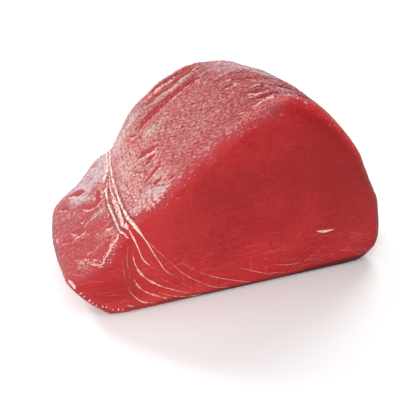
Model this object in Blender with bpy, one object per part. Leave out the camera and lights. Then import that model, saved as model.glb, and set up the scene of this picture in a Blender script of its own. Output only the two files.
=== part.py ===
"""A thick raw tuna steak, cut across the loin and standing on its flat trimmed side.

The body is a loft between two unlike cuts. The front cut is a rounded triangle with its crest to the right
and a small nose lobe to the left. The back cut is a rounder dome whose crest lies further left, so the flank
tapers towards the back. Between the cuts runs the outer side of the loin, with flake grooves, a lumpy grain
and, in the fold between the two lobes, two strands of connective tissue.
"""

import math

import bpy
import numpy as np

NAME = "tuna_steak"
MM = 0.001

THICKNESS = 60 * MM
FRONT_RECLINE = math.radians(6)
BACK_LEAN = math.radians(4)
NOSE_SETBACK = 11 * MM
NOSE_START_X = 4 * MM
NOSE_LENGTH = 29 * MM
CROWN = 2 * MM
CUT_CENTRE = np.array([62.0, 36.0]) * MM

# Landmarks round the two cuts, in millimetres from the front cut's lower left corner, anticlockwise from the
# lower right as seen from the front: front x and z, back x and z, then the rim's radius at the front and back.
# Points below zero are cut off by the board that the steak was trimmed on, which leaves the flat base.
LANDMARKS = {
    "toe_under": (122.0, -2.0, 108.0, -2.0, 2.0, 2.0),
    "toe": (139.5, 6.0, 120.0, 8.5, 3.5, 4.0),
    "belly": (142.0, 25.0, 123.0, 27.0, 6.0, 5.0),
    "flank": (136.0, 45.0, 119.5, 48.0, 7.0, 5.0),
    "haunch": (124.0, 68.5, 111.0, 70.0, 8.0, 5.0),
    "shoulder": (109.0, 87.0, 95.5, 87.0, 9.0, 5.0),
    "crest": (85.5, 100.5, 70.0, 105.0, 8.5, 5.0),
    "brow": (69.5, 95.5, 49.0, 105.5, 7.0, 5.0),
    "slope": (46.5, 77.5, 30.0, 94.5, 5.5, 5.0),
    "foot": (21.0, 60.5, 17.5, 80.5, 4.0, 5.0),
    "notch": (6.5, 49.0, 9.0, 64.5, 3.0, 4.0),
    "lobe": (-5.0, 36.0, 1.0, 58.0, 3.0, 4.0),
    "lobe_side": (-13.5, 29.0, -10.0, 45.0, 3.0, 5.0),
    "nose": (-24.0, 19.5, -23.0, 30.5, 4.0, 5.0),
    "chin": (-20.5, 10.0, -22.5, 9.5, 4.0, 5.0),
    "heel": (-4.5, -1.0, -8.5, -1.0, 2.5, 3.0),
}
ORDER = list(LANDMARKS)
NOTCH = ORDER.index("notch")
HEEL = ORDER.index("heel")

# Flake grooves in the outer side: the landmark number and the share of the thickness where each one starts
# and ends, then its half width and depth in millimetres. Landmark 7.5 is half-way from "brow" to "slope".
GROOVES = (
    (6.7, 0.93, 8.3, 1.00, 1.7, 1.8),
    (7.0, 0.76, 9.0, 0.94, 1.5, 1.6),
    (7.9, 0.66, 8.9, 0.73, 1.4, 1.1),
    (5.5, 0.26, 6.9, 0.52, 1.3, 0.7),
    (5.4, 0.10, 6.7, 0.26, 1.2, 0.7),
    (5.2, 0.00, 6.7, 0.06, 1.2, 0.6),
    (11.3, 0.70, 12.4, 0.93, 1.6, 0.8),
    (10.9, 0.45, 12.2, 0.62, 1.4, 0.6),
    (11.2, 0.16, 12.3, 0.30, 1.3, 0.5),
)
GROOVE_FADE = 0.35

# Lumps of the outer side: seeded heights on a net round the outline and across the thickness, joined smoothly.
LUMP_SEED = 11
LUMPS_ROUND = 44
LUMPS_ACROSS = 8
LUMP_HEIGHT = 0.8 * MM
CUT_WAVE = 34 * MM
CUT_WAVE_HEIGHT = 0.35 * MM

# The fold between the lobes and the two strands in it, measured round the outline from the notch.
FOLD_PLACE = 1.5 * MM
FOLD_WIDTH = 5 * MM
FOLD_DEPTH = 1.2 * MM
LEFT_STRAND = 4.2 * MM
RIGHT_STRAND = -1.9 * MM
STRANDS_CLOSE = 0.7
STRAND_WIDTH = 1.2 * MM
STRAND_HEIGHT = 1.1 * MM

# The steak rests on a flat patch with four corners. Its edges lie a step above the board between the corners,
# and beyond them the underside curls up along a gentle slope.
PATCH_MARGIN = 0.3 * MM
CURL_STEP = 0.2 * MM
CURL_SLOPE = 0.08

# Mesh: columns run from cut to cut, rings run round the steak.
COLUMNS = 118
SEAM_STEP = 0.9 * MM
SEAM_REACH = 9 * MM
SIDE_STEP = 2.8 * MM
BASE_STEP = 14 * MM
BASE_MARGIN = 12 * MM
CUT_RINGS = 4
RIM_RINGS = 4
SIDE_RINGS = 34
BACK_CROWDING = 0.72


def clear_scene():
    for obj in list(bpy.data.objects):
        bpy.data.objects.remove(obj, do_unlink=True)


def landmark_table():
    return np.array(list(LANDMARKS.values())) * MM


def landmark_knots(table):
    """The landmarks' places round the mean outline, as shares of its length, and that length."""
    mean = (table[:, :2] + table[:, 2:4]) / 2
    steps = np.linalg.norm(np.roll(mean, -1, axis=0) - mean, axis=1)
    return np.concatenate([[0], np.cumsum(steps)]) / steps.sum(), steps.sum()


def closed_spline(table, knots, places):
    """A closed curve of cubic pieces through the landmarks, whose slope and curvature run through at each."""
    count = len(table)
    gaps = np.diff(knots)
    matrix = np.zeros((count, count))
    right = np.zeros(table.shape)
    for i in range(count):
        following = (i + 1) % count
        matrix[i, i - 1] += gaps[i - 1]
        matrix[i, i] += 2 * (gaps[i - 1] + gaps[i])
        matrix[i, following] += gaps[i]
        ahead = (table[following] - table[i]) / gaps[i]
        behind = (table[i] - table[i - 1]) / gaps[i - 1]
        right[i] = 6 * (ahead - behind)
    bend = np.linalg.solve(matrix, right)
    start = np.clip(np.searchsorted(knots, places, side="right") - 1, 0, count - 1)
    end = (start + 1) % count
    gap = gaps[start][:, None]
    done = (places - knots[start])[:, None]
    left = gap - done
    curved = (bend[start] * left**3 + bend[end] * done**3) / (6 * gap)
    straight = (table[start] / gap - bend[start] * gap / 6) * left
    return curved + straight + (table[end] / gap - bend[end] * gap / 6) * done


def column_places(knots, length):
    """Places of the columns round the outline: close together at the seam, sparse under the flat base."""
    places = np.linspace(0, 1, 4000, endpoint=False)
    step = np.full(len(places), SIDE_STEP)
    margin = BASE_MARGIN / length
    step[(places > knots[HEEL] + margin) & (places < 1 - margin)] = BASE_STEP
    step[np.abs(places - knots[NOTCH]) * length < SEAM_REACH] = SEAM_STEP
    travelled = np.cumsum(1 / step)
    return np.interp(np.arange(COLUMNS) / COLUMNS * travelled[-1], travelled, places)


def outward(outline):
    """Unit normals of an outline in the plane of the cut, pointing out of the steak."""
    along = np.roll(outline, -1, axis=0) - np.roll(outline, 1, axis=0)
    normal = np.stack([along[:, 1], -along[:, 0]], axis=1)
    return normal / np.linalg.norm(normal, axis=1)[:, None]


def smooth_step(value):
    value = np.clip(value, 0, 1)
    return value * value * (3 - 2 * value)


def front_depth(x, z):
    """The front cut leans back a little, and curves away from the front at the nose."""
    past = np.clip((NOSE_START_X - x) / NOSE_LENGTH, 0, None)
    return z * math.tan(FRONT_RECLINE) + NOSE_SETBACK * past**2


def back_depth(x, z):
    return THICKNESS - z * math.tan(BACK_LEAN) + 0 * x


def grooves(numbers, share):
    """Grooves along straight lines in landmark number and share, each with a bell-shaped section."""
    depth = np.zeros(len(numbers))
    for start, share_start, end, share_end, half_width, groove_depth in GROOVES:
        line = share_start + (share_end - share_start) * (numbers - start) / (end - start)
        across = (share - line) * THICKNESS / (half_width * MM)
        fade = smooth_step((numbers - start) / GROOVE_FADE) * smooth_step((end - numbers) / GROOVE_FADE)
        depth += fade * groove_depth * MM * np.exp(-(across**2))
    return depth


def lumps(places, share):
    """Lumps whose heights lie on a net that closes round the outline, eased from one knot of it to the next."""
    net = np.random.default_rng(LUMP_SEED).uniform(-0.5, 0.5, (LUMPS_ACROSS + 2, LUMPS_ROUND))
    across, row = math.modf(share * LUMPS_ACROSS)
    along, column = np.modf(places * LUMPS_ROUND)
    column = column.astype(int) % LUMPS_ROUND
    following = (column + 1) % LUMPS_ROUND
    along, across, row = smooth_step(along), smooth_step(across), int(row)
    lower = net[row, column] * (1 - along) + net[row, following] * along
    upper = net[row + 1, column] * (1 - along) + net[row + 1, following] * along
    return LUMP_HEIGHT * (lower * (1 - across) + upper * across)


def seam(distance, share):
    """The fold between the lobes, less the two strands that lie in it. They meet at the back."""
    fold = FOLD_DEPTH * np.exp(-(((distance - FOLD_PLACE) / FOLD_WIDTH) ** 2))
    apart = 1 - STRANDS_CLOSE * share**3
    strands = np.zeros(len(distance))
    for place in (LEFT_STRAND * apart, RIGHT_STRAND * apart):
        strands += STRAND_HEIGHT * np.exp(-(((distance - place) / STRAND_WIDTH) ** 2))
    return fold - strands


def side_relief(places, numbers, distance, share, heights):
    """Height of the outer side's relief above the plain loft, fading out towards the flat base."""
    relief = lumps(places, share) - grooves(numbers, share) - seam(distance, share)
    return relief * smooth_step((heights - 3 * MM) / (10 * MM))


def cut_ring(outline, radius, inset, scale, depth_of, rise, relief):
    """A ring on a cut or its rounded rim: the outline drawn in by inset, scaled about the cut's centre."""
    points = outline + outward(outline) * (relief - inset)[:, None]
    points[:, 1] = np.maximum(points[:, 1], 0)
    points = CUT_CENTRE + (points - CUT_CENTRE) * scale
    x, z = points.T
    flatness = 1 - np.clip(scale, 0, 1) ** 6
    wave = CUT_WAVE_HEIGHT * flatness * np.sin(2 * math.pi * (x + 0.4 * z) / CUT_WAVE)
    return np.stack([x, depth_of(x, z) + rise + wave, z], axis=1)


def side_shares():
    """Shares of the thickness for the side's rings, crowded towards the back where the deep grooves are."""
    even = np.linspace(0, 1, SIDE_RINGS)
    return even + (1 - BACK_CROWDING) * even * (1 - even)


def rings_of(table, knots, length, places):
    """Every ring of the steak, from the front cut's centre over the side to the back cut's centre."""
    curves = closed_spline(table[:, :4], knots, places)
    front, back = curves[:, :2], curves[:, 2:]
    front_rim, back_rim = (np.interp(places, knots, np.append(rim, rim[0])) for rim in table[:, 4:].T)
    numbers = np.interp(places, knots, np.arange(len(knots)))
    distance = (places - knots[NOTCH]) * length
    for outline in (front, back):
        outline[:, 1] = np.maximum(outline[:, 1], 0)
    nothing = np.zeros(len(places))
    quarter = [i / RIM_RINGS * math.pi / 2 for i in range(RIM_RINGS)]
    rings = []
    for k in range(1, CUT_RINGS + 1):
        scale = k / (CUT_RINGS + 1)
        rings.append(cut_ring(front, front_rim, front_rim, scale, front_depth, 0, nothing))
    relief = side_relief(places, numbers, distance, 0, front[:, 1])
    for turn in quarter:
        inset, rise = front_rim * (1 - math.sin(turn)), front_rim * (1 - math.cos(turn))
        rings.append(cut_ring(front, front_rim, inset, 1, front_depth, rise, relief * math.sin(turn)))
    for share in side_shares():
        outline = front * (1 - share) + back * share
        height = outline[:, 1].copy()
        bulge = CROWN * 4 * share * (1 - share) * np.clip(height / (12 * MM), 0, 1)
        bulge += side_relief(places, numbers, distance, share, height)
        outline = outline + outward(outline) * bulge[:, None]
        x, z = outline[:, 0], np.maximum(outline[:, 1], 0)
        near, far = front_depth(x, z) + front_rim, back_depth(x, z) - back_rim
        rings.append(np.stack([x, near * (1 - share) + far * share, z], axis=1))
    relief = side_relief(places, numbers, distance, 1, back[:, 1])
    for turn in quarter[::-1]:
        inset, rise = back_rim * (1 - math.sin(turn)), -back_rim * (1 - math.cos(turn))
        rings.append(cut_ring(back, back_rim, inset, 1, back_depth, rise, relief * math.sin(turn)))
    for k in range(CUT_RINGS, 0, -1):
        scale = k / (CUT_RINGS + 1)
        rings.append(cut_ring(back, back_rim, back_rim, scale, back_depth, 0, nothing))
    return rings


def on_its_patch(rings, places):
    """The rings with the underside curled up round the flat patch, whose four corners alone reach its edge."""
    rings = np.array(rings)
    first, last = CUT_RINGS + RIM_RINGS, CUT_RINGS + RIM_RINGS + SIDE_RINGS - 1
    flat = np.flatnonzero((rings[first, :, 2] == 0) & (rings[last, :, 2] == 0))
    heel, toe = flat[places[flat] > 0.5].min(), flat[places[flat] < 0.5].max()
    corner_rings, corner_columns = [first, first, last, last], [heel, toe, toe, heel]
    corners = rings[corner_rings, corner_columns, :2]
    beyond = np.full(rings.shape[:2], -math.inf)
    for corner, following in zip(corners, np.roll(corners, -1, axis=0)):
        edge = following - corner
        normal = np.array([edge[1], -edge[0]]) / np.linalg.norm(edge)
        beyond = np.maximum(beyond, (rings[..., :2] - corner) @ normal)
    curl = np.where(beyond > -PATCH_MARGIN, CURL_STEP + CURL_SLOPE * np.maximum(beyond, 0), 0)
    curl[corner_rings, corner_columns] = 0
    rings[..., 2] = np.maximum(rings[..., 2], curl)
    return rings


def closed_mesh(rings):
    """One closed mesh of the rings: quads between neighbours, and a fan at the centre of each cut."""
    count = len(rings[0])
    points = [tuple(point) for ring in rings for point in ring]
    faces = []
    for k in range(len(rings) - 1):
        for i in range(count):
            following = (i + 1) % count
            low, high = k * count, (k + 1) * count
            faces.append((low + i, high + i, high + following, low + following))
    front_pole, back_pole = len(points), len(points) + 1
    last = (len(rings) - 1) * count
    for ring in (rings[0], rings[-1]):
        points.append(tuple(ring.mean(axis=0)))
    for i in range(count):
        following = (i + 1) % count
        faces.append((front_pole, i, following))
        faces.append((back_pole, last + following, last + i))
    return points, faces


def centred(points):
    """The points moved so that the origin lies under the middle of their box, on the base."""
    points = np.array(points)
    low, high = points.min(axis=0), points.max(axis=0)
    middle = (low + high) / 2
    return points - np.array([middle[0], middle[1], low[2]])


def raw_tuna():
    """Raw tuna: deep red, moist, not metallic."""
    material = bpy.data.materials.new("raw_tuna")
    material.use_nodes = True
    shader = material.node_tree.nodes["Principled BSDF"]
    shader.inputs["Base Color"].default_value = (0.45, 0.04, 0.042, 1)
    shader.inputs["Roughness"].default_value = 0.35
    shader.inputs["Metallic"].default_value = 0
    return material


def steak():
    table = landmark_table()
    knots, length = landmark_knots(table)
    places = column_places(knots, length)
    points, faces = closed_mesh(on_its_patch(rings_of(table, knots, length, places), places))
    mesh = bpy.data.meshes.new(NAME)
    mesh.from_pydata(centred(points), [], faces)
    mesh.materials.append(raw_tuna())
    mesh.shade_smooth()
    mesh.set_sharp_from_angle(angle=math.radians(50))
    return bpy.data.objects.new(NAME, mesh)


def main():
    clear_scene()
    collection = bpy.data.collections.new("tuna_steak_parts")
    bpy.context.scene.collection.children.link(collection)
    collection.objects.link(steak())


main()
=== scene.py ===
"""Looks of a thick raw tuna steak: red cut flesh with a fan of marbling, a leathery outer side under scraps of
pale film, and cream strands of connective tissue in the fold between its two lobes."""

import math

import bpy
import numpy as np
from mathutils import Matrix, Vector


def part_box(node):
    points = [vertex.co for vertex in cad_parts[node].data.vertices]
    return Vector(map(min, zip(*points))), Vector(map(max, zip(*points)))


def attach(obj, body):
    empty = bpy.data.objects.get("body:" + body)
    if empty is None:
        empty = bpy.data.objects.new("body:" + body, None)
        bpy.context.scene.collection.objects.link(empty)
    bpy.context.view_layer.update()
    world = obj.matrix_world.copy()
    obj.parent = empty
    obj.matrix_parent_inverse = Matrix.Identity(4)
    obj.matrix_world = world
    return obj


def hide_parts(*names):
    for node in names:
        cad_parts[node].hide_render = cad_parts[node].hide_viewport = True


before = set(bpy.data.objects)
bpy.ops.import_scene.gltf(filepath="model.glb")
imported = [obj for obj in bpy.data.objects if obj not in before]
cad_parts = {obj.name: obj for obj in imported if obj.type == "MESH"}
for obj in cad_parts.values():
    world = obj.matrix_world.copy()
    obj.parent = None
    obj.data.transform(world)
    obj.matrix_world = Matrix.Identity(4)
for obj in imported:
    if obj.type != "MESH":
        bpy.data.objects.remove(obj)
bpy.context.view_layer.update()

# The flesh: one closed body of raw loin, cut across at the front and back and trimmed flat underneath.
# Its outer side is dried to a leathery grain and keeps the pale film that lay under the skin, with lens-shaped
# tears in it where flakes of bare red flesh show. The cuts are smooth and moist.
MM = 0.001
THICKNESS = 60 * MM
FRONT_RECLINE = math.radians(6)
BACK_LEAN = math.radians(4)
NOSE_SETBACK = 11 * MM
NOSE_START_X = 4 * MM
NOSE_LENGTH = 29 * MM
CROWN = 2 * MM
CUT_CENTRE = np.array([62.0, 36.0]) * MM

# Round the steak, in mm from near the front cut's lower left corner, anticlockwise as seen from the front:
# front x and z, back x and z, then the rim's radius at the front and at the back.
LANDMARKS = {
    "toe_under": (122.0, -2.0, 108.0, -2.0, 2.0, 2.0),
    "toe": (139.5, 6.0, 120.0, 8.5, 3.5, 4.0),
    "belly": (142.0, 25.0, 123.0, 27.0, 6.0, 5.0),
    "flank": (136.0, 45.0, 119.5, 48.0, 7.0, 5.0),
    "haunch": (124.0, 68.5, 111.0, 70.0, 8.0, 5.0),
    "shoulder": (109.0, 87.0, 95.5, 87.0, 9.0, 5.0),
    "crest": (85.5, 100.5, 70.0, 105.0, 8.5, 5.0),
    "brow": (69.5, 95.5, 49.0, 105.5, 7.0, 5.0),
    "slope": (46.5, 77.5, 30.0, 94.5, 5.5, 5.0),
    "foot": (21.0, 60.5, 17.5, 80.5, 4.0, 5.0),
    "notch": (6.5, 49.0, 9.0, 64.5, 3.0, 4.0),
    "lobe": (-5.0, 36.0, 1.0, 58.0, 3.0, 4.0),
    "lobe_side": (-13.5, 29.0, -10.0, 45.0, 3.0, 5.0),
    "nose": (-24.0, 19.5, -23.0, 30.5, 4.0, 5.0),
    "chin": (-20.5, 10.0, -22.5, 9.5, 4.0, 5.0),
    "heel": (-4.5, -1.0, -8.5, -1.0, 2.5, 3.0),
}
landmarks = np.array(list(LANDMARKS.values())) * MM
SHOULDER, CREST, NOTCH, HEEL = (list(LANDMARKS).index(name) for name in ("shoulder", "crest", "notch", "heel"))

mean_outline = (landmarks[:, :2] + landmarks[:, 2:4]) / 2
steps = np.linalg.norm(np.roll(mean_outline, -1, axis=0) - mean_outline, axis=1)
round_length = steps.sum()
knots = np.concatenate([[0], np.cumsum(steps)]) / round_length

SIDE_STEP = 0.42 * MM
FLANK_STEP = 0.7 * MM
BASE_STEP = 5 * MM
BASE_MARGIN = 12 * MM
COLUMNS = 640
FRONT_RINGS = 12
RIM_RINGS = 11
SIDE_RINGS = 112
BACK_RINGS = 8
CUT_CROWDING = 1.4
FINE_STEPS = 8000
LATTICE = 256


def closed_spline(values, places):
    """A closed curve of cubic pieces through the landmarks' values, whose slope and curvature run through at
    each: the bends solve one cyclic set of equations, and a point mixes its two landmarks' values and bends."""
    gaps = np.diff(knots)
    before = np.roll(gaps, 1)
    count = len(gaps)
    matrix = np.diag(2 * (before + gaps))
    matrix[np.arange(count), np.arange(count) - 1] += before
    matrix[np.arange(count), (np.arange(count) + 1) % count] += gaps
    ahead = (np.roll(values, -1, axis=0) - values) / gaps[:, None]
    bend = np.linalg.solve(matrix, 6 * (ahead - np.roll(ahead, 1, axis=0)))
    start = np.clip(np.searchsorted(knots, places, side="right") - 1, 0, count - 1)
    end = (start + 1) % count
    gap = gaps[start][:, None]
    done = (places - knots[start])[:, None]
    left = gap - done
    curved = (bend[start] * left**3 + bend[end] * done**3) / (6 * gap)
    straight = (values[start] / gap - bend[start] * gap / 6) * left
    return curved + straight + (values[end] / gap - bend[end] * gap / 6) * done


def ramp(low, high, value):
    """0 below low, 1 above high, and 3t^2 - 2t^3 between them, where t is the share of the way from low to
    high. It falls instead where low is above high."""
    share = np.clip((value - low) / (high - low), 0, 1)
    return share * share * (3 - 2 * share)


def span(value, start, full, fade, end):
    """1 from full to fade, eased down to 0 at start and at end: the product of a rising and a falling ramp."""
    return ramp(start, full, value) * ramp(end, fade, value)


def bell(value, width):
    """A bell curve, exp(-(value / width)^2)."""
    return np.exp(-((value / width) ** 2))


def noise(x, y, seed):
    """Gradient noise on a lattice with a cell of 1: at each lattice point a seeded slope in a random direction,
    the four slopes round a place blended by 6t^5 - 15t^4 + 10t^3. It runs from about -0.7 to 0.7."""
    angle = np.random.default_rng(seed).uniform(0, 2 * math.pi, (LATTICE, LATTICE))
    column, row = np.floor(x).astype(int), np.floor(y).astype(int)
    fx, fy = x - column, y - row

    def corner(i, j):
        turn = angle[(row + j) % LATTICE, (column + i) % LATTICE]
        return np.cos(turn) * (fx - i) + np.sin(turn) * (fy - j)

    ease_x, ease_y = (f**3 * (f * (6 * f - 15) + 10) for f in (fx, fy))
    low = corner(0, 0) + ease_x * (corner(1, 0) - corner(0, 0))
    high = corner(0, 1) + ease_x * (corner(1, 1) - corner(0, 1))
    return low + ease_y * (high - low)


def cells(x, y, seed):
    """Distance to the second nearest of seeded points less that to the nearest, with one point at a random
    place in each cell of a unit lattice: 0 on the creases between cells, growing towards their middles."""
    spots = np.random.default_rng(seed).uniform(0.1, 0.9, (2, LATTICE, LATTICE))
    column, row = np.floor(x).astype(int), np.floor(y).astype(int)

    def distance(i, j):
        spot_x, spot_y = spots[:, (row + j) % LATTICE, (column + i) % LATTICE]
        return np.hypot(column + i + spot_x - x, row + j + spot_y - y)

    far = np.stack([distance(i, j) for i in (-1, 0, 1) for j in (-1, 0, 1)])
    far.partition(1, axis=0)
    return far[1] - far[0]


# Columns stand closest on the slope and the lobe, wider apart on the flank, and far apart under the base.
fine = np.linspace(0, 1, FINE_STEPS, endpoint=False)
margin = BASE_MARGIN / round_length
step = FLANK_STEP + (SIDE_STEP - FLANK_STEP) * ramp(knots[SHOULDER], knots[CREST], fine)
step = np.where((fine > knots[HEEL] + margin) & (fine < 1 - margin), BASE_STEP, step)
travelled = np.cumsum(1 / step)
places = np.interp(np.arange(COLUMNS) / COLUMNS * travelled[-1], travelled, fine)
numbers = np.interp(places, knots, np.arange(len(knots)))

curves = closed_spline(landmarks[:, :4], places)
front, back = curves[:, :2], curves[:, 2:]
front[:, 1] = np.maximum(front[:, 1], 0)
back[:, 1] = np.maximum(back[:, 1], 0)
front_rim, back_rim = (np.interp(places, knots, np.append(rim, rim[0])) for rim in landmarks[:, 4:].T)


def outward(outline):
    """Unit normals of closed outlines in the plane of the cut, pointing out of the steak."""
    tangent = np.roll(outline, -1, axis=-2) - np.roll(outline, 1, axis=-2)
    normal = np.stack([tangent[..., 1], -tangent[..., 0]], axis=-1)
    return normal / np.linalg.norm(normal, axis=-1, keepdims=True)


def front_depth(x, z):
    """The front cut leans back by the tangent of 6 degrees and curves away as a parabola at the nose."""
    past = np.clip((NOSE_START_X - x) / NOSE_LENGTH, 0, None)
    return z * math.tan(FRONT_RECLINE) + NOSE_SETBACK * past**2


def back_depth(x, z):
    """The back cut leans forward by the tangent of 4 degrees."""
    return THICKNESS - z * math.tan(BACK_LEAN) + 0 * x


# The side's own coordinates. Along is in mm round the steak, from the fold between the lobes towards the small
# lobe, and number is the landmark number there, with parts between landmarks. Across is in mm over the side,
# below 0 on the front rim and cut and above 60 on the back ones, and share is across over the thickness.
quarter = np.linspace(0, 1, RIM_RINGS, endpoint=False)[:, None] * math.pi / 2
even = np.linspace(0, 1, SIDE_RINGS)[:, None]
front_scale, back_scale = (
    1 - (1 - np.arange(1, rings + 1)[:, None] / (rings + 1)) ** CUT_CROWDING
    for rings in (FRONT_RINGS, BACK_RINGS)
)
front_reach, back_reach = (np.linalg.norm(outline - CUT_CENTRE, axis=1) for outline in (front, back))
front_turned, back_turned = (rim * (math.pi / 2 - quarter) for rim in (front_rim, back_rim))
across = np.concatenate(
    [
        -front_turned[:1] - (1 - front_scale) * front_reach,
        -front_turned,
        even * THICKNESS + 0 * places,
        THICKNESS + back_turned[::-1],
        THICKNESS + back_turned[:1] + (1 - back_scale[::-1]) * back_reach,
    ]
)
across /= MM
share = np.clip(across * MM / THICKNESS, 0, 1)
number = numbers + 0 * share
along = (places - knots[NOTCH]) * round_length / MM + 0 * share
side_rows = slice(FRONT_RINGS + RIM_RINGS, FRONT_RINGS + RIM_RINGS + SIDE_RINGS)

# Grooves between flakes: landmark number and share of the thickness at both ends, half width and depth in mm.
GROOVES = (
    (6.8, 0.985, 8.4, 0.885, 1.5, 1.0),
    (6.9, 0.730, 8.9, 0.745, 1.5, 1.2),
    (5.5, 0.26, 6.9, 0.52, 1.3, 0.7),
    (5.4, 0.10, 6.7, 0.26, 1.2, 0.7),
    (5.2, 0.00, 6.7, 0.06, 1.2, 0.6),
    (11.3, 0.70, 12.4, 0.93, 1.6, 0.8),
    (10.9, 0.50, 12.2, 0.72, 1.5, 0.6),
    (11.2, 0.16, 12.3, 0.30, 1.3, 0.5),
)
GROOVE_FADE = 0.35
LUMP_SEED = 11
LUMPS_ROUND = 44
LUMPS_ACROSS = 8
LUMP_HEIGHT = 0.8 * MM
FOLD_PLACE = 1.5 * MM
FOLD_WIDTH = 5 * MM
FOLD_DEPTH = 1.2 * MM

# The side's bulge grows from the base up to a height, and its relief starts a little above the base. The wave
# that the knife leaves on the cuts has a length and a height, and slants by a share of z.
CROWN_FULL = 12 * MM
RELIEF_START = 3 * MM
RELIEF_FULL = 13 * MM
CUT_WAVE = 34 * MM
CUT_WAVE_HEIGHT = 0.35 * MM
CUT_WAVE_SLANT = 0.4


def grooves(number, share):
    """Sum of bell-shaped troughs along straight lines in landmark number and share, eased out at their ends."""
    depth = np.zeros(np.broadcast(number, share).shape)
    for start, share_start, end, share_end, half_width, groove_depth in GROOVES:
        line = share_start + (share_end - share_start) * (number - start) / (end - start)
        fade = span(number, start, start + GROOVE_FADE, end - GROOVE_FADE, end)
        depth += fade * groove_depth * bell((share - line) * THICKNESS, half_width * MM)
    return depth * MM


def lumps(place, share):
    """Seeded heights on a net round the outline and across the thickness, eased from knot to knot."""
    net = np.random.default_rng(LUMP_SEED).uniform(-0.5, 0.5, (LUMPS_ACROSS + 2, LUMPS_ROUND))
    place, share = np.broadcast_arrays(place, share)
    row, column = (share * LUMPS_ACROSS).astype(int), (place * LUMPS_ROUND).astype(int)
    ease_row = ramp(0, 1, share * LUMPS_ACROSS - row)
    ease_column = ramp(0, 1, place * LUMPS_ROUND - column)
    following = (column + 1) % LUMPS_ROUND
    low = net[row, column] * (1 - ease_column) + net[row, following] * ease_column
    high = net[row + 1, column] * (1 - ease_column) + net[row + 1, following] * ease_column
    return LUMP_HEIGHT * (low * (1 - ease_row) + high * ease_row)


troughs = grooves(number, share)
fold = FOLD_DEPTH * bell(along * MM - FOLD_PLACE, FOLD_WIDTH)
coarse_relief = lumps(places, share) - troughs - fold


def cut_rings(outline, rim, depth_of, scale):
    """Rings of a cut from near its centre to its rim: the outline drawn in by the rim, scaled about the centre.
    The knife's slow wave lies on them, a sine along x and z that fades out at the rim."""
    inner = outline - outward(outline) * rim[:, None]
    flat = CUT_CENTRE + (inner - CUT_CENTRE) * scale[..., None]
    x, z = flat[..., 0], np.maximum(flat[..., 1], 0)
    wave = CUT_WAVE_HEIGHT * (1 - scale**6) * np.sin(2 * math.pi * (x + CUT_WAVE_SLANT * z) / CUT_WAVE)
    return np.stack([x, depth_of(x, z) + wave, z], axis=-1)


def rim_rings(outline, rim, depth_of, relief, sign):
    """The quarter round from a cut to the outer side: drawn in by R (1 - sin a) and deeper by R (1 - cos a),
    with the side's relief times sin a."""
    flat = outline + outward(outline) * (relief * np.sin(quarter) - rim * (1 - np.sin(quarter)))[..., None]
    x, z = flat[..., 0], np.maximum(flat[..., 1], 0)
    return np.stack([x, depth_of(x, z) + sign * rim * (1 - np.cos(quarter)), z], axis=-1)


front_fade, back_fade = (ramp(RELIEF_START, RELIEF_FULL, outline[:, 1]) for outline in (front, back))
outline = front * (1 - even[..., None]) + back * even[..., None]
bulge = CROWN * 4 * even * (1 - even) * np.clip(outline[..., 1] / CROWN_FULL, 0, 1)
bulge = bulge + coarse_relief[side_rows] * ramp(RELIEF_START, RELIEF_FULL, outline[..., 1])
outline = outline + outward(outline) * bulge[..., None]
side_x, side_z = outline[..., 0], np.maximum(outline[..., 1], 0)
near, far = front_depth(side_x, side_z) + front_rim, back_depth(side_x, side_z) - back_rim
smooth_body = np.concatenate(
    [
        cut_rings(front, front_rim, front_depth, front_scale),
        rim_rings(front, front_rim, front_depth, coarse_relief[side_rows.start] * front_fade, 1),
        np.stack([side_x, near * (1 - even) + far * even, side_z], axis=-1),
        rim_rings(back, back_rim, back_depth, coarse_relief[side_rows.stop - 1] * back_fade, -1)[::-1],
        cut_rings(back, back_rim, back_depth, back_scale)[::-1],
    ]
)


def facing(points):
    """Unit normals of a grid of rings: the step to the next ring crossed with the step to the next column."""
    normal = np.cross(np.gradient(points, axis=0), np.roll(points, -1, axis=1) - np.roll(points, 1, axis=1))
    return normal / np.maximum(np.linalg.norm(normal, axis=-1, keepdims=True), 1e-12)


body_normals = facing(smooth_body)

# A slant is an angle from the way round the steak, crest towards fold, to the back. The leather grain is drawn
# out along the low one by the fold and at the back, and along the high one elsewhere. The flakes lie along the
# third.
LOW_SLANT = math.radians(6)
HIGH_SLANT = math.radians(38)
FLAKE_SLANT = math.radians(21)


def slanted(along, across, slant):
    """Places along and over lines that slant across the side."""
    ahead, over = math.cos(slant), math.sin(slant)
    return along * ahead + across * over, across * ahead - along * over


def along_of(landmark_numbers):
    """Distances round the steak from the fold in mm, between the knots at landmark numbers."""
    return (np.interp(landmark_numbers, np.arange(len(knots)), knots) - knots[NOTCH]) * round_length / MM


# Noise that makes lines and edges wander: slow, quicker and quick.
sway = noise(along / 13, across / 9, 3)
flutter = noise(along / 5, across / 4, 4)
shiver = noise(along / 1.9, across / 1.9, 8)
ragged_along, ragged_across = along + 0.9 * flutter, across + 0.7 * noise(along / 3, across / 3, 5)


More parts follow.
